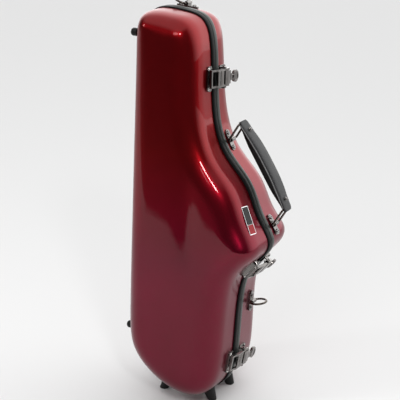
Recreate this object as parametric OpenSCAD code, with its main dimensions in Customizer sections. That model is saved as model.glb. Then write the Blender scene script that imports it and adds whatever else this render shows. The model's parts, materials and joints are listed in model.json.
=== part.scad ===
// Moulded glass-fibre case for an alto saxophone, standing on its end.
// +Z is up, +X points to the side with the handle, the lid faces -Y.
// The origin is the middle of the case's base, on the plane that its feet stand on.
// The outline of the seam is drawn in seam coordinates, and in_case() moves them to the part's frame.

/* [Shells] */
// Depth of the lid from the seam to its face, at mid height
lid_depth = 78.3; // [72:0.1:86]
// Depth of the base from the seam to its face, at mid height
base_depth = 81.2; // [76:0.1:88]
// Radius of the shoulder between the walls and the face
shoulder = 43; // [34:1:46]
// Wall thickness of the moulded shells
wall = 3; // [2:0.5:4]
// How much the walls draw in per millimetre of depth
draft = 0.04; // [0:0.01:0.06]

/* [Seam] */
// Depth of each trim band, from the seam
trim_deep = 10.6; // [9:0.1:12]
// How far the trim bands stand out of the walls
trim_proud = 2.8; // [2:0.1:3]
// Half of the gap between the two trim bands
seam_gap = 0.3; // [0.2:0.1:0.6]

/* [Hinges] */
// Heights of the three spine hinges
hinge_heights = [165, 360, 555]; // [150:1:570]
// Length of a hinge leaf
hinge_long = 50; // [40:1:60]
// How far the hinge axis stands out of the wall
hinge_out = 7.4; // [7.2:0.1:8]
// Diameter of the hinge pins
hinge_pin_d = 4; // [3:0.5:4]

/* [Latches] */
// Places of the top, middle and bottom latch, in spans along the seam
latch_at = [10.53, 4.32, 1.7]; // [1.6:0.01:10.6]
// Turn of the latches from square with the seam
latch_turn = 4.5; // [-6:0.5:6]
// Width of a latch's catch plate
catch_wide = 40; // [38:1:44]
// Diameter of a lever's pivot pin
lever_pin_d = 4; // [3:0.5:4]

/* [Handle] */
// Places of the upper and lower handle bracket, in spans along the seam
bracket_at = [9.15, 6.40]; // [6.3:0.01:9.2]
// Distance of the handle's middle plane behind the seam
handle_y = 25; // [24:0.5:26]
// Distance between the two rods of a handle loop
loop_long = 33.5; // [32:0.5:35]
// Rise of the loops above level
loop_rise = 58; // [52:1:62]
// Diameter of the loop and ring wire
wire_d = 3.6; // [3:0.2:4]
// Width of the grip at its middle
grip_wide = 32; // [28:1:38]

/* [Strap rings] */
// Places of the side and the top strap ring, in spans along the seam
ring_at = [2.86, 13.3]; // [2.8:0.01:13.4]
// Distances of the two ring brackets behind the seam
ring_y = [45, 26]; // [24:1:46]
// Radius of a ring, to the middle of its wire
ring_r = 13.5; // [12:0.5:15]

/* [Feet and bumpers] */
// Places of the right and left feet, in spans along the seam
foot_at = [0.48, 21.2]; // [0.4:0.01:21.3]
// Distances of the front and rear feet from the seam
foot_y = [-25, 42]; // [-30:1:45]
// Diameter of a foot where it meets the shell
foot_d = 20; // [18:1:24]
// Heights of the spine bumpers
bumper_heights = [116, 621]; // [110:1:630]
// Height of a spine bumper above the wall
bumper_high = 8; // [8:0.5:11]

/* [Hidden] */
$fn = 48;

// Middle of the case's base, in seam coordinates.
mid_x = 39;
mid_y = 8.7;

// Control corners of the seam's outline, [x, z], counter-clockwise seen from the front.
// The last seven run up the straight spine, and down round the lower left corner.
SEAM = [[30, 8], [82, 27], [93, 90], [97, 178], [109, 242], [150, 272], [158, 299],
  [129, 334], [115.5, 388], [64, 432], [49, 503], [51, 594], [43, 648], [2, 655],
  [-45, 661], [-64, 643], [-67, 590], [-73, 440], [-78.5, 290], [-84, 140], [-82, 81], [-32, 31]];
spans = len(SEAM);
steps = 5;                      // columns of the shells in each span
columns = spans * steps;

// The two ends of the straight spine that carries the hinges, [x, z].
spine_low = [-84, 140];
spine_high = [-67, 590];

// The shells are deeper at the bell end: change of depth per millimetre of height.
mid_height = 330;
lid_taper = -0.022;
base_taper = -0.075;
round_power = 2 / 2.3;          // makes the shoulder a little squarer than a circle

// ---- outline ----

function unit(v) = v / norm(v);
function turned(v) = [v[1], -v[0]];

// Point of the closed cubic B-spline on control corners p, t spans from its start.
function spline(p, t) =
  let (n = len(p), i = floor(t), f = t - i,
       a = p[(i - 1 + n) % n], b = p[i % n], c = p[(i + 1) % n], d = p[(i + 2) % n])
  (pow(1 - f, 3) * a + (3 * pow(f, 3) - 6 * f * f + 4) * b
   + (-3 * pow(f, 3) + 3 * f * f + 3 * f + 1) * c + pow(f, 3) * d) / 6;

// Outward direction of each control corner. A corner between short sides moves less than
// its neighbours do, so that the outline never crosses itself as it draws in.
OUTWARD = [for (i = [0 : spans - 1])
  let (before = SEAM[i] - SEAM[(i - 1 + spans) % spans],
       after = SEAM[(i + 1) % spans] - SEAM[i],
       dir = unit(unit(before) + unit(after)),
       half_turn = acos(min(1, unit(before) * dir)),
       room = min(norm(before), norm(after)) / 2 / max(0.05, sin(half_turn)))
  turned(dir) * min(1, 0.95 * room / (shoulder + 2))];

function seam_point(t) = spline(SEAM, t);
function seam_normal(t) = unit(turned(seam_point(t + 0.02) - seam_point(t - 0.02)));

POINTS = [for (k = [0 : columns - 1]) spline(SEAM, k / steps)];
NORMALS = [for (k = [0 : columns - 1]) spline(OUTWARD, k / steps)];

// One ring of a skin: out is a list or one number, how far outside the seam's outline the ring
// lies, and v its distance from the seam. side is -1 for the lid and 1 for the base.
function ring(side, out, v) = [for (k = [0 : columns - 1])
  let (o = is_list(out) ? out[k] : out, w = is_list(v) ? v[k] : v, p = POINTS[k] + o * NORMALS[k])
  [p[0], side * w, p[1]]];

// Depth of a side's outer face at each column, so that the face comes out flat.
function face_depth(side) = [for (k = [0 : columns - 1])
  let (z = POINTS[k][1] - (shoulder + 1.6) * NORMALS[k][1])
  side < 0 ? lid_depth + lid_taper * (z - mid_height) : base_depth + base_taper * (z - mid_height)];

// Rings of a skin that lies inset inside the outer surface, from the face out to the rim at v = rim.
function skin_rings(side, inset, rim, bends) =
  let (face = face_depth(side), r = shoulder - inset)
  concat(
    [for (b = [bends : -1 : 0])
      let (a = 90 * b / bends, s = pow(sin(a), round_power), c = pow(cos(a), round_power))
      ring(side,
        [for (d = face) -inset - draft * (d - inset - r) - r * (1 - c)],
        [for (d = face) d - inset - r + r * s])],
    [ring(side, -inset - draft * rim, rim)]);

function reversed(list) = [for (i = [len(list) - 1 : -1 : 0]) list[i]];

// Triangles that close a ring, walking up its two sides from the lowest point i = j.
function cap(q, i, j) = i - j == len(q) - 1 ? [] :
  let (n = len(q), next = q[(i + 1) % n][2], back = q[(j - 1 + n) % n][2])
  next <= back
    ? concat([[(j + n) % n, i % n, (i + 1) % n]], cap(q, i + 1, j))
    : concat([[(j + n) % n, i % n, (j - 1 + n) % n]], cap(q, i, j - 1));

function lowest(q) = let (zs = [for (p = q) p[2]], z = min(zs)) search(z, zs)[0];

// A closed skin through a list of rings, with a cap on the first and the last one,
// or with the last ring joined to the first one when hoop is true.
module skin(side, rings, hoop = false) {
  n = len(rings[0]);
  m = len(rings);
  low_a = lowest(rings[0]);
  low_b = lowest(rings[m - 1]);
  walls = [for (r = [0 : m - (hoop ? 1 : 2)]) for (k = [0 : n - 1])
    let (a = r * n, b = ((r + 1) % m) * n, k2 = (k + 1) % n) [a + k, a + k2, b + k2, b + k]];
  start = hoop ? [] : [for (f = cap(rings[0], low_a + 1, low_a)) reversed(f)];
  end = hoop ? [] : [for (f = cap(rings[m - 1], low_b + 1, low_b)) [for (v = f) v + (m - 1) * n]];
  faces = concat(walls, start, end);
  polyhedron([for (r = rings) each r], side < 0 ? faces : [for (f = faces) reversed(f)], convexity = 10);
}

// ---- frames ----

module in_case() translate([-mid_x, -mid_y, 0]) children();

// Local frame at a place on the seam: X out of the wall, Z along the seam, Y towards the base.
module on_seam(t, y = 0) {
  p = seam_point(t);
  n = seam_normal(t);
  in_case() translate([p[0], y, p[1]]) rotate([0, -atan2(n[1], n[0]), 0]) children();
}

// Local frame on the spine's straight line, with X out of the case.
module on_spine(height, y = 0) {
  line = spine_high - spine_low;
  p = spine_low + line * (height - spine_low[1]) / line[1];
  in_case() translate([p[0], y, p[1]]) rotate([0, 180 + atan2(line[0], line[1]), 0]) children();
}

module along_y(r, h) rotate([-90, 0, 0]) cylinder(r = r, h = h);

module mirrored_z() {
  children();
  mirror([0, 0, 1]) children();
}

// A plate of the outline below, lying on the wall from x = low to x = high.
module plate(low, high) translate([high, 0, 0]) rotate([0, -90, 0]) linear_extrude(high - low) children();

// Rounded rectangle in a plate's plane: z extent long, y extent wide.
module rounded(long, wide, r) {
  square([long - 2 * r, wide], center = true);
  square([long, wide - 2 * r], center = true);
  for (x = [-1, 1], y = [-1, 1]) translate([x * (long / 2 - r), y * (wide / 2 - r)]) circle(r);
}

// Domed fastener head that stands on a plate's face.
module dome(r, high) rotate([0, 90, 0]) rotate_extrude() intersection() {
  translate([0, high - (r * r + high * high) / (2 * high)]) circle((r * r + high * high) / (2 * high));
  square([r, high]);
}

// ---- shells, trims and linings ----

rim = 3.1;                      // where the shells' edges stop, inside the trim bands

module shell(side) {
  outer = skin_rings(side, 0, rim, 6);
  inner = skin_rings(side, wall, rim, 4);
  in_case() skin(side, concat(outer, reversed(inner)));
}

module front_shell() color("darkred") shell(-1);

module back_shell() color("darkred") shell(1);

// Each trim band is a channel that hooks over its shell's edge.
module trim(side) {
  slack = 0.1;
  section = [[0.8, trim_deep], [trim_proud - 0.6, trim_deep - 1], [trim_proud, trim_deep * 0.6],
    [trim_proud - 0.4, 1.2], [trim_proud - 1.2, seam_gap],
    [-wall, seam_gap], [-wall, rim - slack], [slack, rim - slack], [slack - draft * trim_deep, trim_deep]];
  in_case() skin(side, [for (s = section) ring(side, s[0], s[1])], true);
}

module lid_trim() color("black") trim(-1);

module base_trim() color("dimgray") trim(1);

// The seal is a tongue on the base's inner wall that reaches into the lid.
tongue = 2;
tongue_deep = 7;

module seam_seal() color("black") {
  section = [[-wall - tongue, tongue_deep], [-wall - tongue - 0.4, -tongue], [-wall - 0.8, -tongue],
    [-wall - 0.6, 0], [-wall - 0.3, tongue_deep]];
  in_case() skin(1, [for (s = reversed(section)) ring(1, s[0], s[1])], true);
}

lining = 3;
lining_rim = 5;

module lid_lining() color("dimgray") in_case()
  skin(-1, concat(skin_rings(-1, wall + 0.4, lining_rim, 3),
    reversed(skin_rings(-1, wall + 0.4 + lining, lining_rim, 3))));

// Padding against the lid's face, over the instrument.
module lid_pad() color("gray") {
  face = face_depth(-1);
  back = wall + lining + 0.4;
  thick = 12;
  edge = -shoulder - 2;
  in_case() skin(-1, [ring(-1, edge, [for (d = face) d - back]),
    ring(-1, edge + 3, [for (d = face) d - back - thick / 2]),
    ring(-1, edge, [for (d = face) d - back - thick])]);
}

// ---- padded insert ----

insert_top = 8;                 // distance of the insert's top from the seam
body_floor = 42;                // depth of the body's channel
bell_floor = 64;                // depth of the bell's pocket
// Channel for the instrument's body and bow, and pocket for its bell, [x, z].
CHANNEL = [[-38, 60], [-20, 60], [-14, 330], [-10, 470], [16, 510], [24, 560], [14, 622], [-32, 622],
  [-45, 560], [-57, 330], [-61, 60]];
BELL = [[4, 284], [60, 280], [116, 284], [120, 304], [98, 350], [52, 420], [38, 490], [30, 556], [-4, 550],
  [2, 430], [-2, 330]];
accessory = [43, 120];          // middle of the pocket for the neck and mouthpiece
accessory_size = [70, 128];

module slot_down(depth) translate([0, depth, 0]) rotate([90, 0, 0]) linear_extrude(depth) children();

module pocket(outline) polygon([for (t = [0 : 0.25 : len(outline) - 0.25]) spline(outline, t)]);

module base_insert() color("gray") in_case() difference() {
  skin(1, skin_rings(1, wall + tongue + 1, insert_top, 3));
  slot_down(body_floor) pocket(CHANNEL);
  slot_down(bell_floor) pocket(BELL);
  slot_down(body_floor + 14) translate(accessory) rounded(accessory_size[0], accessory_size[1], 14);
}

// Two soft straps that lie across the channel and hold the instrument down.
strap_heights = [200, 520];

module tie_straps() color("black") in_case() for (z = strap_heights)
  translate([-64, insert_top - 2, z]) cube([70, 2, 30]);

// ---- hinges ----

knuckle_r = 4;
knuckle_gap = 0.3;
leaf = 2.2;
leaf_far = 31;                  // far edge of a leaf from the seam
leaf_rivets = [-17, 17];
rivet_y = 23;

module knuckle(low, high) difference() {
  translate([hinge_out, 0, low]) cylinder(r = knuckle_r, h = high - low);
  translate([hinge_out, 0, low - 1]) cylinder(d = hinge_pin_d + 0.1, h = high - low + 2);
}

// Arm that carries a knuckle over the trim band, then down to the wall.
module hinge_arm(side, low, high) translate([0, 0, low]) linear_extrude(high - low) difference() {
  polygon([for (p = [[3.2, 2.4], [3.2, 11.4], [-0.9, 13], [-1.4, 18], [1.6, 18], [2.2, 14.4],
    [5.6, 12.4], [6.4, 2.4]]) [p[0], side * p[1]]]);
  translate([hinge_out, 0]) circle(d = hinge_pin_d + 0.1);
}

module hinge_leaf(side) {
  translate([0, side * (leaf_far + 16) / 2, 0]) plate(-1, 1.2) rounded(hinge_long, leaf_far - 16, 3);
  ends = side < 0 ? [[-9, 9]] : [[-hinge_long / 2, -9 - knuckle_gap], [9 + knuckle_gap, hinge_long / 2]];
  for (e = ends) {
    knuckle(e[0], e[1]);
    hinge_arm(side, e[0], e[1]);
  }
}

module hinge_rivets(side) for (h = hinge_heights, z = leaf_rivets)
  on_spine(h, side * rivet_y) translate([1.2, 0, z]) dome(3.2, 1.6);

module hinge_lid_leaves() color("dimgray") for (h = hinge_heights) on_spine(h) hinge_leaf(-1);

module hinge_base_leaves() color("dimgray") for (h = hinge_heights) on_spine(h) hinge_leaf(1);

module hinge_pins() color("silver") for (h = hinge_heights) on_spine(h)
  translate([hinge_out, 0, -hinge_long / 2 - 1]) cylinder(d = hinge_pin_d, h = hinge_long + 2);

module hinge_lid_rivets() color("silver") hinge_rivets(-1);

module hinge_base_rivets() color("silver") hinge_rivets(1);

// ---- latches ----

lever_axis = [7.4, 17];         // out of the wall and behind the seam
claw_axis = [9.4, 27];
lever_half = 10.8;              // half width of a lever's body
claw_gap = 0.4;
claw_arm = 3;
ear_inside = lever_half + 2 * claw_gap + claw_arm;
ear = 2;
catch_far = -27;
catch_near = -12;
ridge_near = -16;               // a low ridge beside the claw's bar
ridge_far = -20.4;
ridge_top = 4;
rivet_half = 15.4;
tab_y = 47;

// The wall is hollow under the middle latch, so its plates stand on raised pads.
latch_rise = [0, 4, 0];

module on_latch(i) on_seam(latch_at[i]) translate([latch_rise[i], 0, 0])
  rotate([-latch_turn, 0, 0]) children();

module catch_plate(rise) {
  translate([0, (catch_far + catch_near) / 2, 0]) plate(-2 - rise, 2)
    rounded(catch_wide, catch_near - catch_far, 6);
  translate([0, (ridge_near + ridge_far) / 2, 0]) plate(1, ridge_top)
    rounded(16, ridge_near - ridge_far, 1.5);
}

module catch_rivets() for (z = [-1, 1]) translate([2, -23.6, z * rivet_half]) dome(2.8, 1.6);

module latch_base(rise) difference() {
  union() {
    translate([0, 23.5, 0]) plate(-2.4 - rise, 1.6) rounded(38, 23, 5);
    mirrored_z() translate([0, 0, ear_inside]) linear_extrude(ear) {
      translate([0, 12.5]) square([7.4, 9]);
      translate(lever_axis) circle(4.5);
    }
  }
  translate([lever_axis[0], lever_axis[1], -30]) cylinder(d = lever_pin_d + 0.1, h = 60);
}

module base_rivets() for (z = [-1, 1]) translate([1.6, 30, z * rivet_half]) dome(3, 1.8);

module pivot_pin() translate([lever_axis[0], lever_axis[1], -ear_inside - ear - 1])
  cylinder(d = lever_pin_d, h = 2 * (ear_inside + ear + 1));

// Lever: a pressed plate with two cheeks, then a neck and a round tab.
module lever() difference() {
  union() {
    translate([0, 0, -lever_half]) linear_extrude(2 * lever_half)
      polygon([[10.8, 13.6], [12.6, 13.6], [13.6, 22], [13.2, 31], [11.4, 31], [11.6, 22]]);
    mirrored_z() translate([0, 0, lever_half - 2.2]) linear_extrude(2.2) {
      translate(lever_axis) circle(4.2);
      translate(claw_axis) circle(3);
      polygon([[7, 13.4], [11.4, 13.6], [12, 22], [11.8, 30], [9, 30], [6.5, 27], [4, 19]]);
    }
    translate([12.3, 34.5, 0]) cube([2.4, 9, 11], center = true);
    translate([10.8, tab_y, 0]) rotate([0, 90, 0]) cylinder(r = 10, h = 3.4);
    translate([14.2, tab_y, 0]) rotate([0, 90, 0]) rotate_extrude() translate([7.5, 0]) circle(1);
  }
  translate([lever_axis[0], lever_axis[1], -30]) cylinder(d = lever_pin_d + 0.1, h = 60);
  translate([claw_axis[0], claw_axis[1], -30]) cylinder(d = claw_pin_d, h = 60);
}

claw_pin_d = 3;

module claw_pin() translate([claw_axis[0], claw_axis[1], -lever_half - claw_gap - claw_arm])
  cylinder(d = claw_pin_d, h = 2 * (lever_half + claw_gap + claw_arm));

// Claw seen along its pin, with a bar at its far end and a ribbed cover plate over the seam.
CLAW_SIDE = [[6.6, 26.5], [7.4, 23], [9.9, 20], [9.9, 14], [8.2, 10.6], [6.4, -8], [4.4, -21],
  [4.4, -25], [8, -25], [9.4, -14], [11.4, -9], [11.4, 12.4], [12.2, 26.5]];
CLAW_COVER = [[9.2, -9], [11.4, -9], [12, -5.5], [11.4, -2], [10.6, -1.4], [10.6, 0.4], [11.4, 1],
  [12, 6.5], [11.4, 12.4], [9.2, 12.4]];

module claw() {
  mirrored_z() translate([0, 0, lever_half + claw_gap]) linear_extrude(claw_arm) difference() {
    union() {
      translate(claw_axis) circle(3);
      polygon(CLAW_SIDE);
    }
    translate(claw_axis) circle(d = claw_pin_d + 0.1);
  }
  translate([0, 0, -lever_half - 1]) linear_extrude(2 * lever_half + 2) {
    polygon(CLAW_COVER);
    translate([4.4, -25]) square([3.6, 4]);
  }
}

module latch_catch_plates() color("dimgray") for (i = [0 : 2]) on_latch(i) catch_plate(latch_rise[i]);

module latch_catch_rivets() color("silver") for (i = [0 : 2]) on_latch(i) catch_rivets();

module latch_base_plates() color("dimgray") for (i = [0 : 2]) on_latch(i) latch_base(latch_rise[i]);

module latch_base_rivets() color("silver") for (i = [0 : 2]) on_latch(i) base_rivets();

module latch_pivot_pins() color("silver") for (i = [0 : 2]) on_latch(i) pivot_pin();

module latch_lever_top() color("gray") on_latch(0) lever();

module latch_lever_middle() color("gray") on_latch(1) lever();

module latch_lever_bottom() color("gray") on_latch(2) lever();

module latch_claw_top() color("dimgray") on_latch(0) claw();

module latch_claw_middle() color("dimgray") on_latch(1) claw();

module latch_claw_bottom() color("dimgray") on_latch(2) claw();

module latch_claw_pin_top() color("silver") on_latch(0) claw_pin();

module latch_claw_pin_middle() color("silver") on_latch(1) claw_pin();

module latch_claw_pin_bottom() color("silver") on_latch(2) claw_pin();

// ---- handle ----

rod_r = wire_d / 2;
rod_out = 5;                    // a bracket's rod axis, out of the wall
loop_half = 13.7;               // half distance between a loop's side wires
saddle_half = 6;                // half length of the saddle that holds a rod
screw_at = 12.5;                // distance of a bracket's screws from its middle

// Pivot of a bracket's rod in seam coordinates, and the far end of its loop.
function rod_place(t) = seam_point(t) + rod_out * seam_normal(t);
loop_reach = loop_long * [cos(loop_rise), sin(loop_rise)];
grip_top = rod_place(bracket_at[0]) + loop_reach;
grip_low = rod_place(bracket_at[1]) + loop_reach;
grip_span = norm(grip_low - grip_top);

// Leaf-shaped bracket with a saddle over its rod, used by the handle and the rings.
module bracket(half_long) difference() {
  union() {
    plate(-1.8, 1.8) {
      square([2 * half_long - 12, 12], center = true);
      for (z = [-1, 1]) translate([z * (half_long - 6), 0]) circle(6);
    }
    translate([rod_out, -saddle_half, 0]) along_y(rod_r + 1.8, 2 * saddle_half);
    translate([0, -saddle_half, -rod_r - 1.8]) cube([rod_out, 2 * saddle_half, 2 * rod_r + 3.6]);
  }
  translate([rod_out, -20, 0]) along_y(rod_r + 0.08, 40);
}

// Recessed pan head of a bracket screw.
module screw_head() rotate([0, 90, 0]) difference() {
  cylinder(r1 = 3.8, r2 = 2.8, h = 2);
  translate([0, 0, 1.2]) cube([4, 0.9, 2], center = true);
  translate([0, 0, 1.2]) cube([0.9, 4, 2], center = true);
}

module bracket_screws() for (z = [-1, 1]) translate([1.8, 0, z * screw_at]) screw_head();

// Closed wire loop in the plane of Y and its reach, from the rod at the origin.
module wire_loop(reach, half) {
  for (x = [0, reach]) translate([x, -half, 0]) along_y(rod_r, 2 * half);
  for (y = [-half, half]) translate([0, y, 0]) rotate([0, 90, 0]) cylinder(r = rod_r, h = reach);
  for (x = [0, reach], y = [-half, half]) translate([x, y, 0]) sphere(rod_r);
}

module handle_brackets() color("dimgray") for (t = bracket_at) on_seam(t, handle_y) bracket(18);

module handle_screws() color("silver") for (t = bracket_at) on_seam(t, handle_y) bracket_screws();

module handle_loop(t) in_case() translate([rod_place(t)[0], handle_y, rod_place(t)[1]])
  rotate([0, -loop_rise, 0]) wire_loop(loop_long, loop_half);

module handle_loop_upper() color("silver") handle_loop(bracket_at[0]);

module handle_loop_lower() color("silver") handle_loop(bracket_at[1]);

// Local frame of the grip: X away from the case, Z from its lower to its upper rod.
module on_grip() {
  line = grip_top - grip_low;
  in_case() translate([grip_low[0], handle_y, grip_low[1]])
    rotate([0, atan2(line[0], line[1]), 0]) children();
}

grip_below = 5;                 // how far the grip reaches past its lower and its upper rod
grip_above = 3.5;
grip_neck = 11.4;               // half width between the side wires of a loop
grip_out = 11;
grip_under = 4.2;
grip_steps = 28;

function smooth(u) = let (c = max(0, min(1, u))) c * c * (3 - 2 * c);

// Distance of a station from the nearer end, as a share of the length l over which the grip fills out.
function from_end(z, l) = smooth(min(z + grip_below, grip_span + grip_above - z) / l);

GRIP_STATIONS = [for (i = [0 : grip_steps])
  mid_of_grip() - cos(180 * i / grip_steps) * (grip_span + grip_below + grip_above) / 2];
function mid_of_grip() = (grip_span + grip_above - grip_below) / 2;

// Side of the grip: nearly flat under, bowed outside, and blunt at both ends.
module grip_side() polygon(concat(
  [for (z = GRIP_STATIONS) [4 + (grip_out - 4) * pow(from_end(z, 70), 0.6), z]],
  [for (z = reversed(GRIP_STATIONS)) [-2.6 - (grip_under - 2.6) * from_end(z, 30), z]]));

// Plan of the grip: wide where it is held, and narrow between the wires of the loops.
module grip_plan() polygon(concat(
  [for (z = GRIP_STATIONS) [grip_half(z), z]],
  [for (z = reversed(GRIP_STATIONS)) [-grip_half(z), z]]));
function grip_half(z) = grip_neck - 2.4 + 2.4 * pow(from_end(z, 9), 0.7)
  + (grip_wide / 2 - grip_neck) * smooth(min(z - 9, grip_span - 9 - z) / 34);

// Plan of the outer cover, which lies over the rods and stays wide up to the ends.
cover_under = 2.6;
module cover_plan() polygon(concat(
  [for (z = GRIP_STATIONS) [cover_half(z), z]],
  [for (z = reversed(GRIP_STATIONS)) [-cover_half(z), z]]));
function cover_half(z) = 9.5 + 3.5 * pow(from_end(z, 6), 0.7)
  + (grip_wide / 2 - 13) * smooth(min(z, grip_span - z) / 40);

module handle_grip() color("black") on_grip() difference() {
  intersection() {
    rotate([90, 0, 0]) translate([0, 0, -30]) linear_extrude(60) grip_side();
    union() {
      rotate([90, 0, 90]) translate([0, 0, -20]) linear_extrude(60) grip_plan();
      rotate([90, 0, 90]) translate([0, 0, cover_under]) linear_extrude(20) cover_plan();
    }
  }
  for (z = [0, grip_span]) translate([0, -20, z]) along_y(rod_r + (z > 0 ? 0.08 : 0.3), 40);
}

grip_rivet = 14;                // distance of a grip's rivet from its rod

module handle_grip_rivets() color("silver") on_grip()
  for (z = [grip_rivet, grip_span - grip_rivet]) translate([grip_out - 3.2, 0, z]) dome(3.4, 2.4);

// ---- strap rings ----

ring_mid = 10;                  // distance of a ring's middle from its bar
ring_bar = 10.9;                // half length of the straight bar that closes a ring

// Round ring closed by a straight bar on the Y axis at the origin, reaching along X.
module d_ring() {
  intersection() {
    translate([ring_mid, 0, 0]) rotate_extrude() translate([ring_r, 0]) circle(rod_r);
    translate([0, -20, -5]) cube([40, 40, 10]);
  }
  translate([0, -ring_bar, 0]) along_y(rod_r, 2 * ring_bar);
}

ring_lean = [-12, -76];         // the side ring stands a little up, the top ring lies down to the left

module strap_ring(i) on_seam(ring_at[i], ring_y[i]) translate([rod_out, 0, 0])
  rotate([0, ring_lean[i], 0]) d_ring();

module ring_brackets() color("dimgray") for (i = [0, 1]) on_seam(ring_at[i], ring_y[i]) bracket(19);

module ring_screws() color("silver") for (i = [0, 1]) on_seam(ring_at[i], ring_y[i]) bracket_screws();

module side_ring() color("silver") strap_ring(0);

module top_ring() color("silver") strap_ring(1);

// ---- feet, bumpers and badge ----

foot_tip_d = 14;
foot_sink = 1.5;                // how far the end is pressed flat against the floor
screw_recess = 5;

// A foot runs square out of the shell, and its end is flattened where it stands.
function foot_long(t) = (seam_point(t)[1] + foot_sink) / -seam_normal(t)[1];

module foot_at_place(t, y) on_seam(t, y) rotate([0, 90, 0]) children();

module foot(t, y) intersection() {
  foot_at_place(t, y) difference() {
    translate([0, 0, -2.5]) cylinder(d1 = foot_d + 2, d2 = foot_tip_d, h = foot_long(t) + 2.5);
    translate([0, 0, foot_long(t) - screw_recess]) cylinder(d = 7, h = screw_recess + 1);
  }
  translate([-200, -200, 0]) cube([400, 400, 200]);
}

module foot_screw(t, y) foot_at_place(t, y) translate([0, 0, foot_long(t) - screw_recess])
  cylinder(d = 6, h = 1.6);

module front_feet() color("black") for (t = foot_at) foot(t, foot_y[0]);

module rear_feet() color("black") for (t = foot_at) foot(t, foot_y[1]);

module front_foot_screws() color("silver") for (t = foot_at) foot_screw(t, foot_y[0]);

module rear_foot_screws() color("silver") for (t = foot_at) foot_screw(t, foot_y[1]);

bumper_y = 45;

bumper_r = 6.4;

module bumper() translate([-3, 0, 0]) rotate([0, 90, 0]) rotate_extrude() {
  square([bumper_r, bumper_high - 1]);
  translate([0, bumper_high - 1]) square([bumper_r - 4, 4]);
  intersection() {
    translate([bumper_r - 4, bumper_high - 1]) circle(4);
    translate([bumper_r - 4, bumper_high - 1]) square(4);
  }
}

module front_bumpers() color("black") for (h = bumper_heights) on_spine(h, -bumper_y) bumper();

module rear_bumpers() color("black") for (h = bumper_heights) on_spine(h, bumper_y) bumper();

badge_long = 46.5;
badge_wide = 15.5;
badge_thick = 3.2;
badge_proud = 0.9;
badge_at = 7.0;                 // place along the seam
badge_y = -39.5;
badge_turn = 8;                 // turn from square with the seam

badge_lean = 10;                // turns its face a little to the front, as the shoulder does

module on_badge() on_seam(badge_at, badge_y) rotate([-badge_turn, 0, 0])
  rotate([0, 0, -badge_lean]) children();

module badge_plate() color("silver") on_badge()
  plate(-badge_thick, badge_proud) rounded(badge_long, badge_wide, 1.5);

module badge_inlay() color("black") on_badge()
  plate(badge_proud, badge_proud + 0.4) rounded(badge_long - 2.4, badge_wide - 2.4, 0.8);

front_shell();
back_shell();
lid_trim();
base_trim();
seam_seal();
lid_lining();
lid_pad();
base_insert();
tie_straps();
hinge_lid_leaves();
hinge_base_leaves();
hinge_pins();
hinge_lid_rivets();
hinge_base_rivets();
latch_catch_plates();
latch_catch_rivets();
latch_base_plates();
latch_base_rivets();
latch_pivot_pins();
latch_lever_top();
latch_lever_middle();
latch_lever_bottom();
latch_claw_top();
latch_claw_middle();
latch_claw_bottom();
latch_claw_pin_top();
latch_claw_pin_middle();
latch_claw_pin_bottom();
handle_brackets();
handle_screws();
handle_loop_upper();
handle_loop_lower();
handle_grip();
handle_grip_rivets();
ring_brackets();
ring_screws();
side_ring();
top_ring();
front_feet();
front_foot_screws();
rear_feet();
rear_foot_screws();
front_bumpers();
rear_bumpers();
badge_plate();
badge_inlay();
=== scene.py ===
"""Looks of the moulded saxophone case: paint, trims, hardware, handle, lining and studio."""

import json
import math

import bpy
import numpy as np
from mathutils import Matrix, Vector


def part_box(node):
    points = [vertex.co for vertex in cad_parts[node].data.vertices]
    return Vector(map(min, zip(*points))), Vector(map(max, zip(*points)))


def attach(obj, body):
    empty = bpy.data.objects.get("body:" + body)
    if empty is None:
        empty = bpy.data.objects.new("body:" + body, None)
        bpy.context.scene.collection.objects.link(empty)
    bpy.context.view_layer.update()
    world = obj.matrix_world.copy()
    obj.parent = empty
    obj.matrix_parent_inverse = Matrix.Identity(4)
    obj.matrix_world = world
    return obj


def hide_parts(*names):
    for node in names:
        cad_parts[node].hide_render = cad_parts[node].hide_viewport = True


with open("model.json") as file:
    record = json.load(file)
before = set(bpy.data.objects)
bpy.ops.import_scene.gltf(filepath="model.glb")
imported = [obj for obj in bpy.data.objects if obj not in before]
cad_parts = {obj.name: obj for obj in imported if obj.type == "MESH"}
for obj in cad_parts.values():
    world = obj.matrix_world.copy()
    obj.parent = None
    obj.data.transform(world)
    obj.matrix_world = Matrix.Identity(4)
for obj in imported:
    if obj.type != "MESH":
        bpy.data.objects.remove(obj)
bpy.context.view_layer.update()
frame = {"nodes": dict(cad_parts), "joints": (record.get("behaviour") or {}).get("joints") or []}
nodes = frame["nodes"]

MM = 0.001
SHIFT = Vector((39, 8.7, 0))       # seam coordinates to the frame, in mm

# ---------------------------------------------------------------- node helpers


def new_material(name):
    m = bpy.data.materials.new(name)
    m.use_nodes = True
    return m, m.node_tree.nodes, m.node_tree.links, m.node_tree.nodes["Principled BSDF"]


def put(bsdf, **values):
    for key, value in values.items():
        bsdf.inputs[key.replace("_", " ")].default_value = value


def coords(ns, ls, scale=(1, 1, 1)):
    tc = ns.new("ShaderNodeTexCoord")
    mp = ns.new("ShaderNodeMapping")
    mp.inputs["Scale"].default_value = scale
    ls.new(tc.outputs["Object"], mp.inputs["Vector"])
    return mp.outputs["Vector"]


def noise(ns, ls, vector, scale, detail=3.0, rough=0.55):
    n = ns.new("ShaderNodeTexNoise")
    n.inputs["Scale"].default_value = scale
    n.inputs["Detail"].default_value = detail
    n.inputs["Roughness"].default_value = rough
    ls.new(vector, n.inputs["Vector"])
    return n.outputs["Fac"]


def remap(ns, ls, value, low, high, to_low, to_high):
    r = ns.new("ShaderNodeMapRange")
    for key, number in (("From Min", low), ("From Max", high), ("To Min", to_low), ("To Max", to_high)):
        r.inputs[key].default_value = number
    ls.new(value, r.inputs["Value"])
    return r.outputs["Result"]


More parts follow.
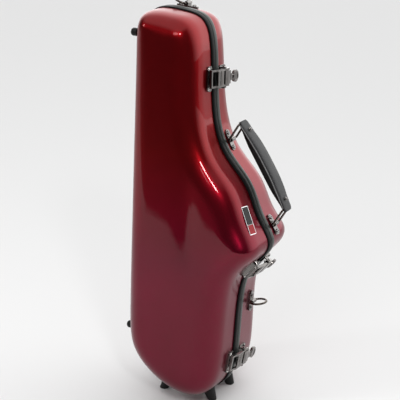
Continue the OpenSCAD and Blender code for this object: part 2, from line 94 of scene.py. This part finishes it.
def ramp(ns, ls, value, stops):
    r = ns.new("ShaderNodeValToRGB")
    el = r.color_ramp.elements
    while len(el) < len(stops):
        el.new(0.5)
    for e, (pos, col) in zip(el, stops):
        e.position = pos
        e.color = (*col, 1)
    ls.new(value, r.inputs["Fac"])
    return r.outputs["Color"]


def bump(ns, ls, height, strength, distance, normal=None):
    b = ns.new("ShaderNodeBump")
    b.inputs["Strength"].default_value = strength
    b.inputs["Distance"].default_value = distance
    ls.new(height, b.inputs["Height"])
    if normal is not None:
        ls.new(normal, b.inputs["Normal"])
    return b.outputs["Normal"]


def math_node(ns, ls, op, a, b=None):
    m = ns.new("ShaderNodeMath")
    m.operation = op
    for i, v in enumerate((a, b)):
        if v is None:
            continue
        if isinstance(v, (int, float)):
            m.inputs[i].default_value = v
        else:
            ls.new(v, m.inputs[i])
    return m.outputs[0]


def soft_edge(ns, radius):
    b = ns.new("ShaderNodeBevel")
    b.samples = 6
    b.inputs["Radius"].default_value = radius
    return b.outputs["Normal"]


# ---------------------------------------------------------------- materials


VALLEYS = ((0.000, 0.021, -0.0036), (-0.088, 0.024, -0.0014))      # X of the middle, width and depth
VALLEY_FADE = (0.17, 0.36)         # heights between which the valleys come in
CROWN_MIDDLE, CROWN_BOW = 0.30, -0.075
PAINTED_LIGHT_HEIGHTS = (0.26, 0.44)        # painted light: base colour brighter red higher up, darker bluer red lower down


def candy_paint(relief):
    """Clear-coated wine-red paint with fine flakes. relief swells the lid's face over body and bell."""
    m, ns, ls, bsdf = new_material("candy_paint_lid" if relief else "candy_paint_base")
    vec = coords(ns, ls)
    cloud = noise(ns, ls, vec, 9.0, 4.0)
    # painted light: a brighter red for the upper case and a darker, bluer red for the lower, mixed by height
    high = ramp(ns, ls, cloud, [(0.3, (0.195, 0.0018, 0.0035)), (0.7, (0.240, 0.0024, 0.005))])
    low = ramp(ns, ls, cloud, [(0.3, (0.135, 0.0010, 0.014)), (0.7, (0.165, 0.0014, 0.020))])
    place = ns.new("ShaderNodeSeparateXYZ")
    ls.new(vec, place.inputs[0])
    tint = ns.new("ShaderNodeMix")
    tint.data_type = "RGBA"
    ls.new(remap(ns, ls, place.outputs["Z"], *PAINTED_LIGHT_HEIGHTS, 0, 1), tint.inputs["Factor"])
    ls.new(low, tint.inputs["A"])
    ls.new(high, tint.inputs["B"])
    ls.new(tint.outputs["Result"], bsdf.inputs["Base Color"])
    flake = ns.new("ShaderNodeTexVoronoi")
    flake.inputs["Scale"].default_value = 2600
    ls.new(vec, flake.inputs["Vector"])
    spread = remap(ns, ls, flake.outputs["Distance"], 0, 1, 0.26, 0.42)
    ls.new(spread, bsdf.inputs["Roughness"])
    put(bsdf, Metallic=0.85, Specular_IOR_Level=0.1, Coat_Roughness=0.02, Coat_IOR=1.38)
    slant = ns.new("ShaderNodeLayerWeight")        # the clear coat is thinner to the eye at a slant
    ls.new(remap(ns, ls, slant.outputs["Facing"], 0.20, 0.60, 0.82, 0.36), bsdf.inputs["Coat Weight"])
    wave = noise(ns, ls, vec, 22.0, 2.0)
    peel = bump(ns, ls, wave, 0.25, 0.0006)
    if relief:
        sep = ns.new("ShaderNodeSeparateXYZ")
        ls.new(vec, sep.inputs[0])
        x, z = sep.outputs["X"], sep.outputs["Z"]
        depth = None
        for centre, width, deep in VALLEYS:
            across = math_node(ns, ls, "DIVIDE", math_node(ns, ls, "SUBTRACT", x, centre), width)
            square = math_node(ns, ls, "MULTIPLY", across, across)
            bell = math_node(ns, ls, "EXPONENT", math_node(ns, ls, "MULTIPLY", square, -1.0))
            valley = math_node(ns, ls, "MULTIPLY", bell, deep)
            depth = valley if depth is None else math_node(ns, ls, "ADD", depth, valley)
        fade = ns.new("ShaderNodeMapRange")
        fade.interpolation_type = "SMOOTHERSTEP"
        fade.inputs["From Min"].default_value, fade.inputs["From Max"].default_value = VALLEY_FADE
        ls.new(z, fade.inputs["Value"])
        depth = math_node(ns, ls, "MULTIPLY", depth, fade.outputs[0])
        up = math_node(ns, ls, "SUBTRACT", z, CROWN_MIDDLE)
        crown = math_node(ns, ls, "MULTIPLY", math_node(ns, ls, "MULTIPLY", up, up), CROWN_BOW)
        height = math_node(ns, ls, "ADD", depth, crown)
        peel = bump(ns, ls, height, 1.0, 1.0, peel)
    ls.new(peel, bsdf.inputs["Coat Normal"])
    ls.new(peel, bsdf.inputs["Normal"])
    return m


def moulded(name, dark, light, rough, scale=700.0, edge=0.0, shine=0.5, ior=1.5):
    """Plain moulded plastic, rubber or lacquer with a fine grain."""
    m, ns, ls, bsdf = new_material(name)
    vec = coords(ns, ls)
    patch = noise(ns, ls, vec, 30.0, 4.0)
    ls.new(ramp(ns, ls, patch, [(0.3, dark), (0.7, light)]), bsdf.inputs["Base Color"])
    put(bsdf, Specular_IOR_Level=shine, IOR=ior)
    grain = noise(ns, ls, vec, scale, 2.0)
    ls.new(remap(ns, ls, patch, 0.3, 0.7, rough - 0.05, rough + 0.06), bsdf.inputs["Roughness"])
    base = soft_edge(ns, edge) if edge else None
    ls.new(bump(ns, ls, grain, 0.12, 0.0003, base), bsdf.inputs["Normal"])
    return m


def metal(name, dark, light, rough, edge=0.0006, brushed=(1, 1, 1)):
    """Plated metal: worn tint, fine scratches and softened edges."""
    m, ns, ls, bsdf = new_material(name)
    vec = coords(ns, ls, brushed)
    patch = noise(ns, ls, vec, 60.0, 4.0)
    fine = noise(ns, ls, vec, 900.0, 2.0)
    ls.new(ramp(ns, ls, patch, [(0.3, dark), (0.7, light)]), bsdf.inputs["Base Color"])
    ls.new(remap(ns, ls, patch, 0.3, 0.7, rough - 0.05, rough + 0.08), bsdf.inputs["Roughness"])
    put(bsdf, Metallic=1.0)
    ls.new(bump(ns, ls, fine, 0.10, 0.0002, soft_edge(ns, edge)), bsdf.inputs["Normal"])
    return m


def cloth(name, dark, light, scale, strength=0.6):
    """Plush or woven fabric with a soft sheen."""
    m, ns, ls, bsdf = new_material(name)
    vec = coords(ns, ls)
    pile = noise(ns, ls, vec, scale, 5.0, 0.7)
    ls.new(ramp(ns, ls, pile, [(0.3, dark), (0.7, light)]), bsdf.inputs["Base Color"])
    put(bsdf, Roughness=0.95, Sheen_Weight=0.5, Sheen_Roughness=0.5)
    ls.new(bump(ns, ls, pile, strength, 0.001), bsdf.inputs["Normal"])
    return m


PAINT_LID = candy_paint(True)
PAINT_BASE = candy_paint(False)
BLACK = moulded("trim_black", (0.004, 0.004, 0.004), (0.008, 0.008, 0.008), 0.42, shine=0.5, ior=1.18)
GREY_TRIM = moulded("trim_grey", (0.032, 0.038, 0.034), (0.048, 0.054, 0.050), 0.34, shine=0.3)
RUBBER = moulded("rubber_black", (0.010, 0.010, 0.010), (0.018, 0.018, 0.018), 0.5, edge=0.001, shine=0.2)
SEAL = moulded("seal_rubber", (0.012, 0.012, 0.012), (0.02, 0.02, 0.02), 0.6)
NICKEL = metal("black_nickel", (0.13, 0.12, 0.115), (0.24, 0.225, 0.215), 0.14, 0.0008)
BRACKET = metal("bracket_nickel", (0.17, 0.16, 0.155), (0.26, 0.25, 0.24), 0.24, 0.0008)
STEEL = metal("bright_steel", (0.50, 0.48, 0.46), (0.66, 0.64, 0.62), 0.16, 0.0004)
SCREW = metal("screw_steel", (0.20, 0.19, 0.19), (0.34, 0.33, 0.32), 0.28, 0.0002)
BRONZE = metal("dark_wire", (0.07, 0.058, 0.05), (0.14, 0.115, 0.10), 0.20, 0.0002)
CHROME = metal("badge_chrome", (0.62, 0.62, 0.63), (0.75, 0.75, 0.76), 0.14, 0.0004)
PLUSH = cloth("plush_insert", (0.012, 0.012, 0.014), (0.040, 0.040, 0.046), 420.0)
LINING = cloth("plush_lining", (0.014, 0.014, 0.016), (0.044, 0.044, 0.05), 420.0)
WEBBING = cloth("strap_webbing", (0.008, 0.008, 0.008), (0.03, 0.03, 0.03), 260.0)


def grip_leather(name, dark, light, rough):
    """Leather with a fine pebbled grain."""
    m, ns, ls, bsdf = new_material(name)
    vec = coords(ns, ls)
    cells = ns.new("ShaderNodeTexVoronoi")
    cells.inputs["Scale"].default_value = 900
    ls.new(vec, cells.inputs["Vector"])
    patch = noise(ns, ls, vec, 60.0, 4.0)
    ls.new(ramp(ns, ls, patch, [(0.3, dark), (0.7, light)]), bsdf.inputs["Base Color"])
    ls.new(remap(ns, ls, patch, 0.3, 0.7, rough, rough + 0.12), bsdf.inputs["Roughness"])
    put(bsdf, Specular_IOR_Level=0.3)
    ls.new(bump(ns, ls, cells.outputs["Distance"], 0.35, 0.0004), bsdf.inputs["Normal"])
    return m


GRIP = grip_leather("grip_leather", (0.003, 0.003, 0.003), (0.008, 0.008, 0.008), 0.50)
GRIP_FACE = grip_leather("grip_face_leather", (0.016, 0.017, 0.018), (0.028, 0.029, 0.030), 0.38)
PIPING = moulded("grip_piping", (0.16, 0.16, 0.16), (0.23, 0.23, 0.23), 0.4)
THREAD = cloth("grip_thread", (0.02, 0.02, 0.02), (0.05, 0.05, 0.05), 900.0)

# ---------------------------------------------------------------- outline of the seam

SEAM = np.array([
    (30, 8), (82, 27), (93, 90), (97, 178), (109, 242), (150, 272), (158, 299), (129, 334),
    (115.5, 388), (64, 432), (49, 503), (51, 594), (43, 648), (2, 655), (-45, 661), (-64, 643),
    (-67, 590), (-73, 440), (-78.5, 290), (-84, 140), (-82, 81), (-32, 31)], float)
SPANS = len(SEAM)
SHOULDER, WALL, DRAFT = 43.0, 3.0, 0.04
RIM = 3.1
TRIM_DEEP, TRIM_PROUD, GAP = 10.6, 2.8, 0.3
ROUND = 2 / 2.3
FACE = {-1: (78.3, -0.022), 1: (81.2, -0.075)}
MID_HEIGHT = 330.0


def spline(points, t):
    t = np.asarray(t, float)
    i = np.floor(t).astype(int)
    f = (t - i)[..., None]
    a, b, c, d = (points[(i + k) % len(points)] for k in (-1, 0, 1, 2))
    return ((1 - f) ** 3 * a + (3 * f ** 3 - 6 * f ** 2 + 4) * b
            + (-3 * f ** 3 + 3 * f ** 2 + 3 * f + 1) * c + f ** 3 * d) / 6


def outward():
    out = []
    for i in range(SPANS):
        before = SEAM[i] - SEAM[i - 1]
        after = SEAM[(i + 1) % SPANS] - SEAM[i]
        nb, na = np.linalg.norm(before), np.linalg.norm(after)
        middle = before / nb + after / na
        middle /= np.linalg.norm(middle)
        half = math.acos(min(1.0, float(np.dot(before / nb, middle))))
        room = min(nb, na) / 2 / max(0.05, math.sin(half))
        out.append(np.array((middle[1], -middle[0])) * min(1, 0.95 * room / (SHOULDER + 2)))
    return np.array(out)


OUTWARD = outward()
COLUMNS = SPANS * 16
T = np.arange(COLUMNS) / 16
POINTS = spline(SEAM, T)
NORMALS = spline(OUTWARD, T)


def face_depth(side):
    base, taper = FACE[side]
    return base + taper * (POINTS[:, 1] - (SHOULDER + 1.6) * NORMALS[:, 1] - MID_HEIGHT)


def ring(side, out, v):
    out = np.broadcast_to(out, COLUMNS)
    v = np.broadcast_to(v, COLUMNS)
    p = POINTS + out[:, None] * NORMALS
    return np.stack([p[:, 0] - SHIFT.x, side * v - SHIFT.y, p[:, 1]], 1) * MM


def skin_rings(side, inset, rim, bends):
    face = face_depth(side)
    r = SHOULDER - inset
    rings = []
    for b in range(bends, -1, -1):
        a = math.radians(90 * b / bends)
        s, c = math.sin(a) ** ROUND, max(0.0, math.cos(a)) ** ROUND
        rings.append(ring(side, -inset - DRAFT * (face - inset - r) - r * (1 - c), face - inset - r + r * s))
    straight = 3
    last = face - inset - r
    for k in range(1, straight + 1):
        v = last + (rim - last) * k / straight
        rings.append(ring(side, -inset - DRAFT * v, v))
    return rings


def mesh_object(name, verts, faces, mat, smooth=True):
    me = bpy.data.meshes.new(name)
    me.from_pydata([tuple(map(float, v)) for v in verts], [], faces)
    me.materials.append(mat)
    for p in me.polygons:
        p.use_smooth = smooth
    me.update()
    ob = bpy.data.objects.new(name, me)
    bpy.context.scene.collection.objects.link(ob)
    return ob


def loft(name, rings, mat, side, hoop=False):
    n = len(rings[0])
    m = len(rings)
    verts = np.concatenate(rings)
    faces = []
    for r in range(m if hoop else m - 1):
        a, b = r * n, ((r + 1) % m) * n
        for k in range(n):
            k2 = (k + 1) % n
            faces.append((a + k, a + k2, b + k2, b + k))
    if not hoop:
        faces.append(tuple(reversed(range(n))))
        faces.append(tuple((m - 1) * n + k for k in range(n)))
    if side < 0:
        faces = [tuple(reversed(f)) for f in faces]
    return mesh_object(name, verts, faces, mat)


def keep_edges(ob, degrees):
    """Edges sharper than this stay crisp under smooth shading."""
    ob.data.set_sharp_from_angle(angle=math.radians(degrees))


def finish_piece(ob, body, slot, *replaced):
    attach(ob, body)
    if replaced:
        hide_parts(*replaced)


BENDS = 18


def shell(side, name, mat, body, node):
    outer = skin_rings(side, 0, RIM, BENDS)
    inner = skin_rings(side, WALL, RIM, 8)
    ob = loft(name, outer + inner[::-1], mat, side)
    keep_edges(ob, 50)
    finish_piece(ob, body, "shell", node)


shell(-1, "lid_shell_paint", PAINT_LID, "lid", "front_shell")
shell(1, "base_shell_paint", PAINT_BASE, "base", "back_shell")


def trim(side, name, mat, body, node, slot):
    """Channel-shaped band with a rounded outer face."""
    slack = 0.1
    section = [(0.8, TRIM_DEEP), (1.5, TRIM_DEEP - 0.15), (2.0, TRIM_DEEP - 0.6), (2.4, TRIM_DEEP - 1.6),
               (TRIM_PROUD - 0.1, 8.0), (TRIM_PROUD, 6.2), (TRIM_PROUD - 0.05, 3.6), (TRIM_PROUD - 0.3, 1.8),
               (TRIM_PROUD - 0.8, 0.8), (TRIM_PROUD - 1.6, GAP), (-WALL, GAP), (-WALL, RIM - slack),
               (slack, RIM - slack), (slack - DRAFT * TRIM_DEEP, TRIM_DEEP)]
    ob = loft(name, [ring(side, a, v) for a, v in section], mat, side, hoop=True)
    keep_edges(ob, 50)
    finish_piece(ob, body, slot, node)


trim(-1, "lid_trim_band", BLACK, "lid", "lid_trim", "lid_trim")
trim(1, "base_trim_band", GREY_TRIM, "base", "base_trim", "base_trim")

# ---------------------------------------------------------------- carried-over pieces


def set_material(node, mat):
    data = nodes[node].data
    data.materials.clear()
    data.materials.append(mat)


LOOKS = {
    "seam_seal": SEAL, "lid_lining": LINING, "lid_pad": LINING, "base_insert": PLUSH, "tie_straps": WEBBING,
    "hinge_lid_leaves": NICKEL, "hinge_base_leaves": NICKEL, "hinge_pins": STEEL,
    "hinge_lid_rivets": STEEL, "hinge_base_rivets": STEEL,
    "latch_catch_plates": NICKEL, "latch_catch_rivets": STEEL, "latch_base_plates": NICKEL,
    "latch_base_rivets": NICKEL, "latch_pivot_pins": NICKEL,
    "handle_brackets": BRACKET, "handle_screws": SCREW, "handle_loop_upper": BRONZE,
    "handle_loop_lower": BRONZE, "handle_grip": GRIP, "handle_grip_rivets": NICKEL,
    "ring_brackets": BRACKET, "ring_screws": SCREW, "side_ring": BRONZE, "top_ring": BRONZE,
    "front_feet": RUBBER, "rear_feet": RUBBER, "front_foot_screws": SCREW, "rear_foot_screws": SCREW,
    "front_bumpers": RUBBER, "rear_bumpers": RUBBER, "badge_plate": CHROME, "badge_inlay": BLACK,
}
for place in ("top", "middle", "bottom"):
    LOOKS["latch_lever_" + place] = NICKEL
    LOOKS["latch_claw_" + place] = NICKEL
    LOOKS["latch_claw_pin_" + place] = STEEL
for name, mat in LOOKS.items():
    set_material(name, mat)

# ---------------------------------------------------------------- handle grip

JOINTS = {j["name"]: j for j in frame["joints"]}


def joint_at(name):
    return Vector(JOINTS[name]["pos_m"])


REACH = joint_at("handle_grip") - joint_at("handle_loop_upper")
GRIP_TOP = joint_at("handle_grip")
GRIP_LOW = joint_at("handle_loop_lower") + REACH
GRIP_LONG = (GRIP_TOP - GRIP_LOW).length / MM
GRIP_Z = (GRIP_TOP - GRIP_LOW).normalized()
GRIP_X = Vector((GRIP_Z.z, 0, -GRIP_Z.x))
BELOW, ABOVE, NECK, OUT, UNDER, WIDE = 5.0, 3.5, 11.4, 11.0, 4.2, 32.0
COVER_UNDER = 2.6                  # the cover is wide above this height, and the core narrow below it


def smooth(u):
    c = max(0.0, min(1.0, u))
    return c * c * (3 - 2 * c)


def from_end(z, length):
    return smooth(min(z + BELOW, GRIP_LONG + ABOVE - z) / length)


def grip_section(z):
    """Inner and outer face of the grip at a station, and the half widths of its core and cover, in mm."""
    outer = 4 + (OUT - 4) * from_end(z, 70) ** 0.6
    inner = -2.6 - (UNDER - 2.6) * from_end(z, 30)
    half = NECK - 2.4 + 2.4 * from_end(z, 9) ** 0.7
    half += (WIDE / 2 - NECK) * smooth(min(z - 9, GRIP_LONG - 9 - z) / 34)
    cover = 9.5 + 3.5 * from_end(z, 6) ** 0.7 + (WIDE / 2 - 13) * smooth(min(z, GRIP_LONG - z) / 40)
    return inner, outer, half, max(cover, half)


def grip_point(x, y, z):
    return GRIP_LOW + (GRIP_X * x + Vector((0, y, 0)) + GRIP_Z * z) * MM


def signed_power(v, e):
    return math.copysign(abs(v) ** e, v)


SQUARE = 3.4                       # how square the grip's section is
FACE_DEEP = 3.4                    # the outer face's leather reaches this far down the sides


def grip_surface(y, z):
    """Height of the cover's outer face at a distance y from its middle line."""
    outer, cover = grip_section(z)[1], grip_section(z)[3]
    share = min(1.0, abs(y) / cover)
    return COVER_UNDER + (outer - COVER_UNDER) * (1 - share ** SQUARE) ** (1 / SQUARE)


def grip_body():
    """Black core with a wide, bowed cover over it, in one skin."""
    stations, around = 90, 64
    first, last = -BELOW, GRIP_LONG + ABOVE
    verts = []
    for i in range(stations + 1):
        u = (1 - math.cos(math.pi * i / stations)) / 2
        z = first + (last - first) * u
        inner, outer, half, cover = grip_section(z)
        end = min(1.0, math.sqrt(min(u, 1 - u) * 60) + 0.72)
        for k in range(around):
            a = 2 * math.pi * k / around
            side, rise = signed_power(math.cos(a), 2 / SQUARE), signed_power(math.sin(a), 2 / SQUARE)
            wide, deep = (cover, outer - COVER_UNDER) if rise >= 0 else (half, COVER_UNDER - inner)
            verts.append(grip_point(COVER_UNDER + deep * end * rise, wide * end * side, z))
    faces = []
    for i in range(stations):
        for k in range(around):
            k2 = (k + 1) % around
            faces.append((i * around + k, (i + 1) * around + k, (i + 1) * around + k2, i * around + k2))
    faces.append(tuple(range(around)))
    faces.append(tuple(reversed(range(stations * around, (stations + 1) * around))))
    ob = mesh_object("grip_cover", verts, faces, GRIP)
    ob.data.materials.append(GRIP_FACE)
    for p in ob.data.polygons:
        places = [ob.data.vertices[v].co - GRIP_LOW for v in p.vertices]
        height = sum(place.dot(GRIP_X) for place in places) / len(places) / MM
        z = sum(place.dot(GRIP_Z) for place in places) / len(places) / MM
        if height > grip_section(z)[1] - FACE_DEEP:
            p.material_index = 1
    finish_piece(ob, "grip", "grip", "handle_grip")


def tube(name, path, radius, mat, closed, sides=16):
    """Round wire through a list of points."""
    verts, faces = [], []
    count = len(path)
    normal = None
    for i, p in enumerate(path):
        if closed:
            t = path[(i + 1) % count] - path[i - 1]
        else:
            t = path[min(i + 1, count - 1)] - path[max(i - 1, 0)]
        t = t.normalized()
        if normal is None:
            normal = t.orthogonal().normalized()
        normal = (normal - t * normal.dot(t)).normalized()
        other = t.cross(normal)
        for k in range(sides):
            a = 2 * math.pi * k / sides
            verts.append(p + (normal * math.cos(a) + other * math.sin(a)) * radius)
    for i in range(count if closed else count - 1):
        j = (i + 1) % count
        for k in range(sides):
            k2 = (k + 1) % sides
            faces.append((i * sides + k, i * sides + k2, j * sides + k2, j * sides + k))
    if not closed:
        faces.append(tuple(reversed(range(sides))))
        faces.append(tuple((count - 1) * sides + k for k in range(sides)))
    return mesh_object(name, verts, faces, mat)


def grip_piping():
    for side, name in ((-1, "grip_piping_front"), (1, "grip_piping_rear")):
        path = []
        for i in range(61):
            z = 2 + (GRIP_LONG - 4) * i / 60
            outer, cover = grip_section(z)[1], grip_section(z)[3]
            path.append(grip_point(outer - 3.0, side * (cover - 0.5), z))
        ob = tube(name, path, 0.95 * MM, PIPING, False, 10)
        finish_piece(ob, "grip", "grip")


def grip_stitches():
    """Two rows of thread along the grip's outer face."""
    verts, faces = [], []
    for side in (-1, 1):
        z = 22.0
        while z < GRIP_LONG - 22:
            y = side * (grip_section(z)[3] - 4.2)
            ends = [grip_point(grip_surface(y, zz) + 0.12, y, zz) for zz in (z, z + 2.6)]
            along = (ends[1] - ends[0]).normalized()
            up = GRIP_X
            across = along.cross(up)
            start = len(verts)
            for e in ends:
                for k in range(6):
                    a = math.pi * k / 3
                    verts.append(e + (up * math.cos(a) + across * math.sin(a)) * 0.42 * MM)
            for k in range(6):
                k2 = (k + 1) % 6
                faces.append((start + k, start + k2, start + 6 + k2, start + 6 + k))
            faces.append(tuple(start + k for k in reversed(range(6))))
            faces.append(tuple(start + 6 + k for k in range(6)))
            z += 4.4
    ob = mesh_object("grip_stitching", verts, faces, THREAD)
    finish_piece(ob, "grip", "grip")


grip_body()
grip_piping()
grip_stitches()


def wire_loop(joint, name, body, node):
    """Handle loop with bent corners, in the plane of its reach and the Y axis."""
    pivot = joint_at(joint)
    along = REACH.normalized()
    reach, half, bend, radius = REACH.length / MM, 13.7, 3.0, 1.8
    path = []
    for cx, cy, start in ((reach - bend, half - bend, 0), (bend, half - bend, 90),
                          (bend, -half + bend, 180), (reach - bend, -half + bend, 270)):
        for k in range(9):
            a = math.radians(start + 90 * k / 8)
            corner = along * (cx + bend * math.cos(a)) + Vector((0, cy + bend * math.sin(a), 0))
            path.append(pivot + corner * MM)
    ob = tube(name, path, radius * MM, BRONZE, True, 20)
    finish_piece(ob, body, "wire", node)


wire_loop("handle_loop_upper", "handle_wire_upper", "loop_upper", "handle_loop_upper")
wire_loop("handle_loop_lower", "handle_wire_lower", "loop_lower", "handle_loop_lower")

# ---------------------------------------------------------------- soft pieces


def plush_copy(node, name, body, slot, mat, voxel, rounds):
    """Foam under plush: the plain solid with rounded lips and an uneven nap."""
    source = nodes[node].data.copy()
    source.materials.clear()
    source.materials.append(mat)
    ob = bpy.data.objects.new(name, source)
    bpy.context.scene.collection.objects.link(ob)
    remesh = ob.modifiers.new("remesh", "REMESH")
    remesh.mode = "VOXEL"
    remesh.voxel_size = voxel
    remesh.use_smooth_shade = True
    soften = ob.modifiers.new("soften", "SMOOTH")
    soften.factor = 0.5
    soften.iterations = rounds
    nap = bpy.data.textures.new(name + "_nap", "CLOUDS")
    nap.noise_scale = 0.035
    swell = ob.modifiers.new("nap", "DISPLACE")
    swell.texture = nap
    swell.texture_coords = "LOCAL"
    swell.strength = 0.0016
    swell.mid_level = 1.0
    finish_piece(ob, body, slot, node)


plush_copy("base_insert", "insert_plush", "base", "insert", PLUSH, 0.003, 8)
plush_copy("lid_pad", "lid_cushion", "lid", "lining", LINING, 0.0025, 8)


def plush_skin(name, side, thick, rim, mat, body, slot, *replaced):
    """Plush sheet glued to the inside of a shell."""
    ob = loft(name, skin_rings(side, WALL + 0.4, rim, 12)
              + skin_rings(side, WALL + 0.4 + thick, rim, 12)[::-1], mat, side)
    keep_edges(ob, 50)
    finish_piece(ob, body, slot, *replaced)


plush_skin("lid_lining_plush", -1, 3.0, 5.0, LINING, "lid", "lining", "lid_lining")
# The neck of the bell pocket runs past the foam's side, down to this thin sheet.
plush_skin("insert_backing", 1, 1.6, 10.0, PLUSH, "base", "insert")


def tie_straps():
    """Two soft straps with a slight sag."""
    low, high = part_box("tie_straps")
    width = 30 * MM
    verts, faces = [], []
    rows, cols = 28, 10
    for z0 in (low.z, high.z - width):
        start = len(verts)
        for face in (0, 1):
            for i in range(rows + 1):
                for j in range(cols + 1):
                    u, v = i / rows, j / cols
                    sag = 0.0012 * math.sin(math.pi * u) * (0.6 + 0.4 * math.cos(9 * u))
                    edge = 0.0005 * (abs(2 * v - 1) ** 6)
                    front = 0.0003 + edge + sag
                    back = 0.0018 - edge + sag * 0.3
                    y = low.y + (back if face else front)
                    verts.append(Vector((low.x + (high.x - low.x) * u, min(y, high.y), z0 + width * v)))
        layer = (rows + 1) * (cols + 1)

        def at(face, i, j):
            return start + face * layer + i * (cols + 1) + j

        for i in range(rows):
            for j in range(cols):
                faces.append((at(0, i, j), at(0, i + 1, j), at(0, i + 1, j + 1), at(0, i, j + 1)))
                faces.append((at(1, i, j), at(1, i, j + 1), at(1, i + 1, j + 1), at(1, i + 1, j)))
        for i in range(rows):
            faces.append((at(0, i, 0), at(1, i, 0), at(1, i + 1, 0), at(0, i + 1, 0)))
            faces.append((at(0, i, cols), at(0, i + 1, cols), at(1, i + 1, cols), at(1, i, cols)))
        for j in range(cols):
            faces.append((at(0, 0, j), at(0, 0, j + 1), at(1, 0, j + 1), at(1, 0, j)))
            faces.append((at(0, rows, j), at(1, rows, j), at(1, rows, j + 1), at(0, rows, j + 1)))
    ob = mesh_object("strap_webbing_pair", verts, faces, WEBBING)
    keep_edges(ob, 50)
    finish_piece(ob, "base", "strap", "tie_straps")


tie_straps()

# ---------------------------------------------------------------- badge


def badge_paint():
    """Plain two-tone plaque: gloss black over a small red field, split across its length."""
    t, lean = 7.0, math.radians(8)
    here, ahead = spline(SEAM, np.array([t, t + 0.02]))
    run = (ahead - here) / np.linalg.norm(ahead - here)
    along = Vector((run[0] * math.cos(lean), math.sin(lean), run[1] * math.cos(lean)))
    low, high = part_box("badge_inlay")
    middle = (low + high) / 2
    m, ns, ls, bsdf = new_material("badge_plaque")
    vec = coords(ns, ls)
    dot = ns.new("ShaderNodeVectorMath")
    dot.operation = "DOT_PRODUCT"
    ls.new(vec, dot.inputs[0])
    dot.inputs[1].default_value = along
    place = math_node(ns, ls, "SUBTRACT", dot.outputs["Value"], middle.dot(along))
    split = remap(ns, ls, place, -0.0225, 0.0225, 0, 1)
    cloud = noise(ns, ls, vec, 90.0, 3.0)
    blend = math_node(ns, ls, "ADD", split, remap(ns, ls, cloud, 0, 1, -0.002, 0.002))
    col = ramp(ns, ls, blend, [(0.0, (0.36, 0.006, 0.012)), (0.335, (0.36, 0.006, 0.012)),
                               (0.34, (0.55, 0.55, 0.55)), (0.365, (0.012, 0.012, 0.012))])
    ls.new(col, bsdf.inputs["Base Color"])
    put(bsdf, Roughness=0.3, Specular_IOR_Level=0.25)
    set_material("badge_inlay", m)


badge_paint()

# ---------------------------------------------------------------- studio

TARGET = Vector((-15.18, -8.7, 343.92)) * MM
AZIMUTH, ELEVATION, DISTANCE = math.radians(28.09), math.radians(17.76), 1.8545
LENS = 101.3


def place_camera():
    back = Vector((math.sin(AZIMUTH) * math.cos(ELEVATION),
                   -math.cos(AZIMUTH) * math.cos(ELEVATION), math.sin(ELEVATION)))
    data = bpy.data.cameras.new("camera")
    data.lens = LENS
    data.sensor_width = 36
    data.clip_start = 0.05
    cam = bpy.data.objects.new("camera", data)
    bpy.context.scene.collection.objects.link(cam)
    cam.location = TARGET + back * DISTANCE
    cam.rotation_euler = (-back).to_track_quat("-Z", "Y").to_euler()
    bpy.context.scene.camera = cam


place_camera()
bpy.context.scene.view_settings.view_transform = "Standard"


LAMP_AIM = Vector((0, 0, 0.4))


def area(name, where, size, power):
    """Rectangular lamp that points at the middle of the case."""
    data = bpy.data.lights.new(name, "AREA")
    data.shape = "RECTANGLE"
    data.size, data.size_y = size
    data.energy = power
    ob = bpy.data.objects.new(name, data)
    bpy.context.scene.collection.objects.link(ob)
    ob.location = where
    ob.rotation_euler = (LAMP_AIM - Vector(where)).to_track_quat("-Z", "Y").to_euler()


FLOOR_SHADE_BAND = (-1.14, -1.01)        # painted shade: floor coloured pale behind this band of Y, dark in front of it
FLOOR_SLANT = 0.6                  # how far the band comes nearer towards the right


def floor_sheet():
    """Pale floor with painted shade: its colour goes dark in front, where the lid's face mirrors it."""
    m, ns, ls, bsdf = new_material("floor_paper_painted_shade")
    vec = coords(ns, ls)
    sep = ns.new("ShaderNodeSeparateXYZ")
    ls.new(vec, sep.inputs[0])
    fade = ns.new("ShaderNodeMapRange")
    fade.interpolation_type = "SMOOTHSTEP"
    fade.inputs["From Min"].default_value, fade.inputs["From Max"].default_value = FLOOR_SHADE_BAND
    right = math_node(ns, ls, "MULTIPLY", math_node(ns, ls, "MAXIMUM", sep.outputs["X"], 0.0), FLOOR_SLANT)
    ls.new(math_node(ns, ls, "SUBTRACT", sep.outputs["Y"], right), fade.inputs["Value"])
    # painted shade: dark floor colour in front of the band, pale behind it
    col = ramp(ns, ls, fade.outputs[0], [(0.0, (0.05, 0.05, 0.05)), (1.0, (0.80, 0.80, 0.80))])
    ls.new(col, bsdf.inputs["Base Color"])
    put(bsdf, Roughness=0.9, Specular_IOR_Level=0.1)
    size = 9.0
    ob = mesh_object("floor", [(-size, -size, 0), (size, -size, 0), (size, size, 0), (-size, size, 0)],
                     [(0, 1, 2, 3)], m, False)


floor_sheet()

SKY = 2.05


def sky():
    """Bright behind the case and overhead, dark in front."""
    world = bpy.data.worlds.new("studio")
    bpy.context.scene.world = world
    world.use_nodes = True
    ns, ls = world.node_tree.nodes, world.node_tree.links
    tc = ns.new("ShaderNodeTexCoord")
    sep = ns.new("ShaderNodeSeparateXYZ")
    ls.new(tc.outputs["Generated"], sep.inputs[0])
    rightward = math_node(ns, ls, "MULTIPLY", sep.outputs["X"], 0.12)
    behind = remap(ns, ls, math_node(ns, ls, "ADD", sep.outputs["Y"], rightward), 0.05, 0.6, 0, 1)
    above = remap(ns, ls, sep.outputs["Z"], 0.62, 0.82, 0, 1)
    above = math_node(ns, ls, "MULTIPLY", above, 0.45)
    col = ramp(ns, ls, math_node(ns, ls, "MAXIMUM", behind, above),
               [(0.0, (0.03, 0.03, 0.03)), (1.0, (1.0, 1.0, 1.0))])
    ls.new(col, ns["Background"].inputs["Color"])
    ns["Background"].inputs["Strength"].default_value = SKY


sky()
area("key_right", (1.25, -1.5, 1.75), (0.22, 0.30), 10)
area("front_left", (-1.9, -1.9, 1.9), (0.4, 0.8), 11)
area("front_fill", (0.3, -2.3, 2.1), (1.5, 0.7), 15)
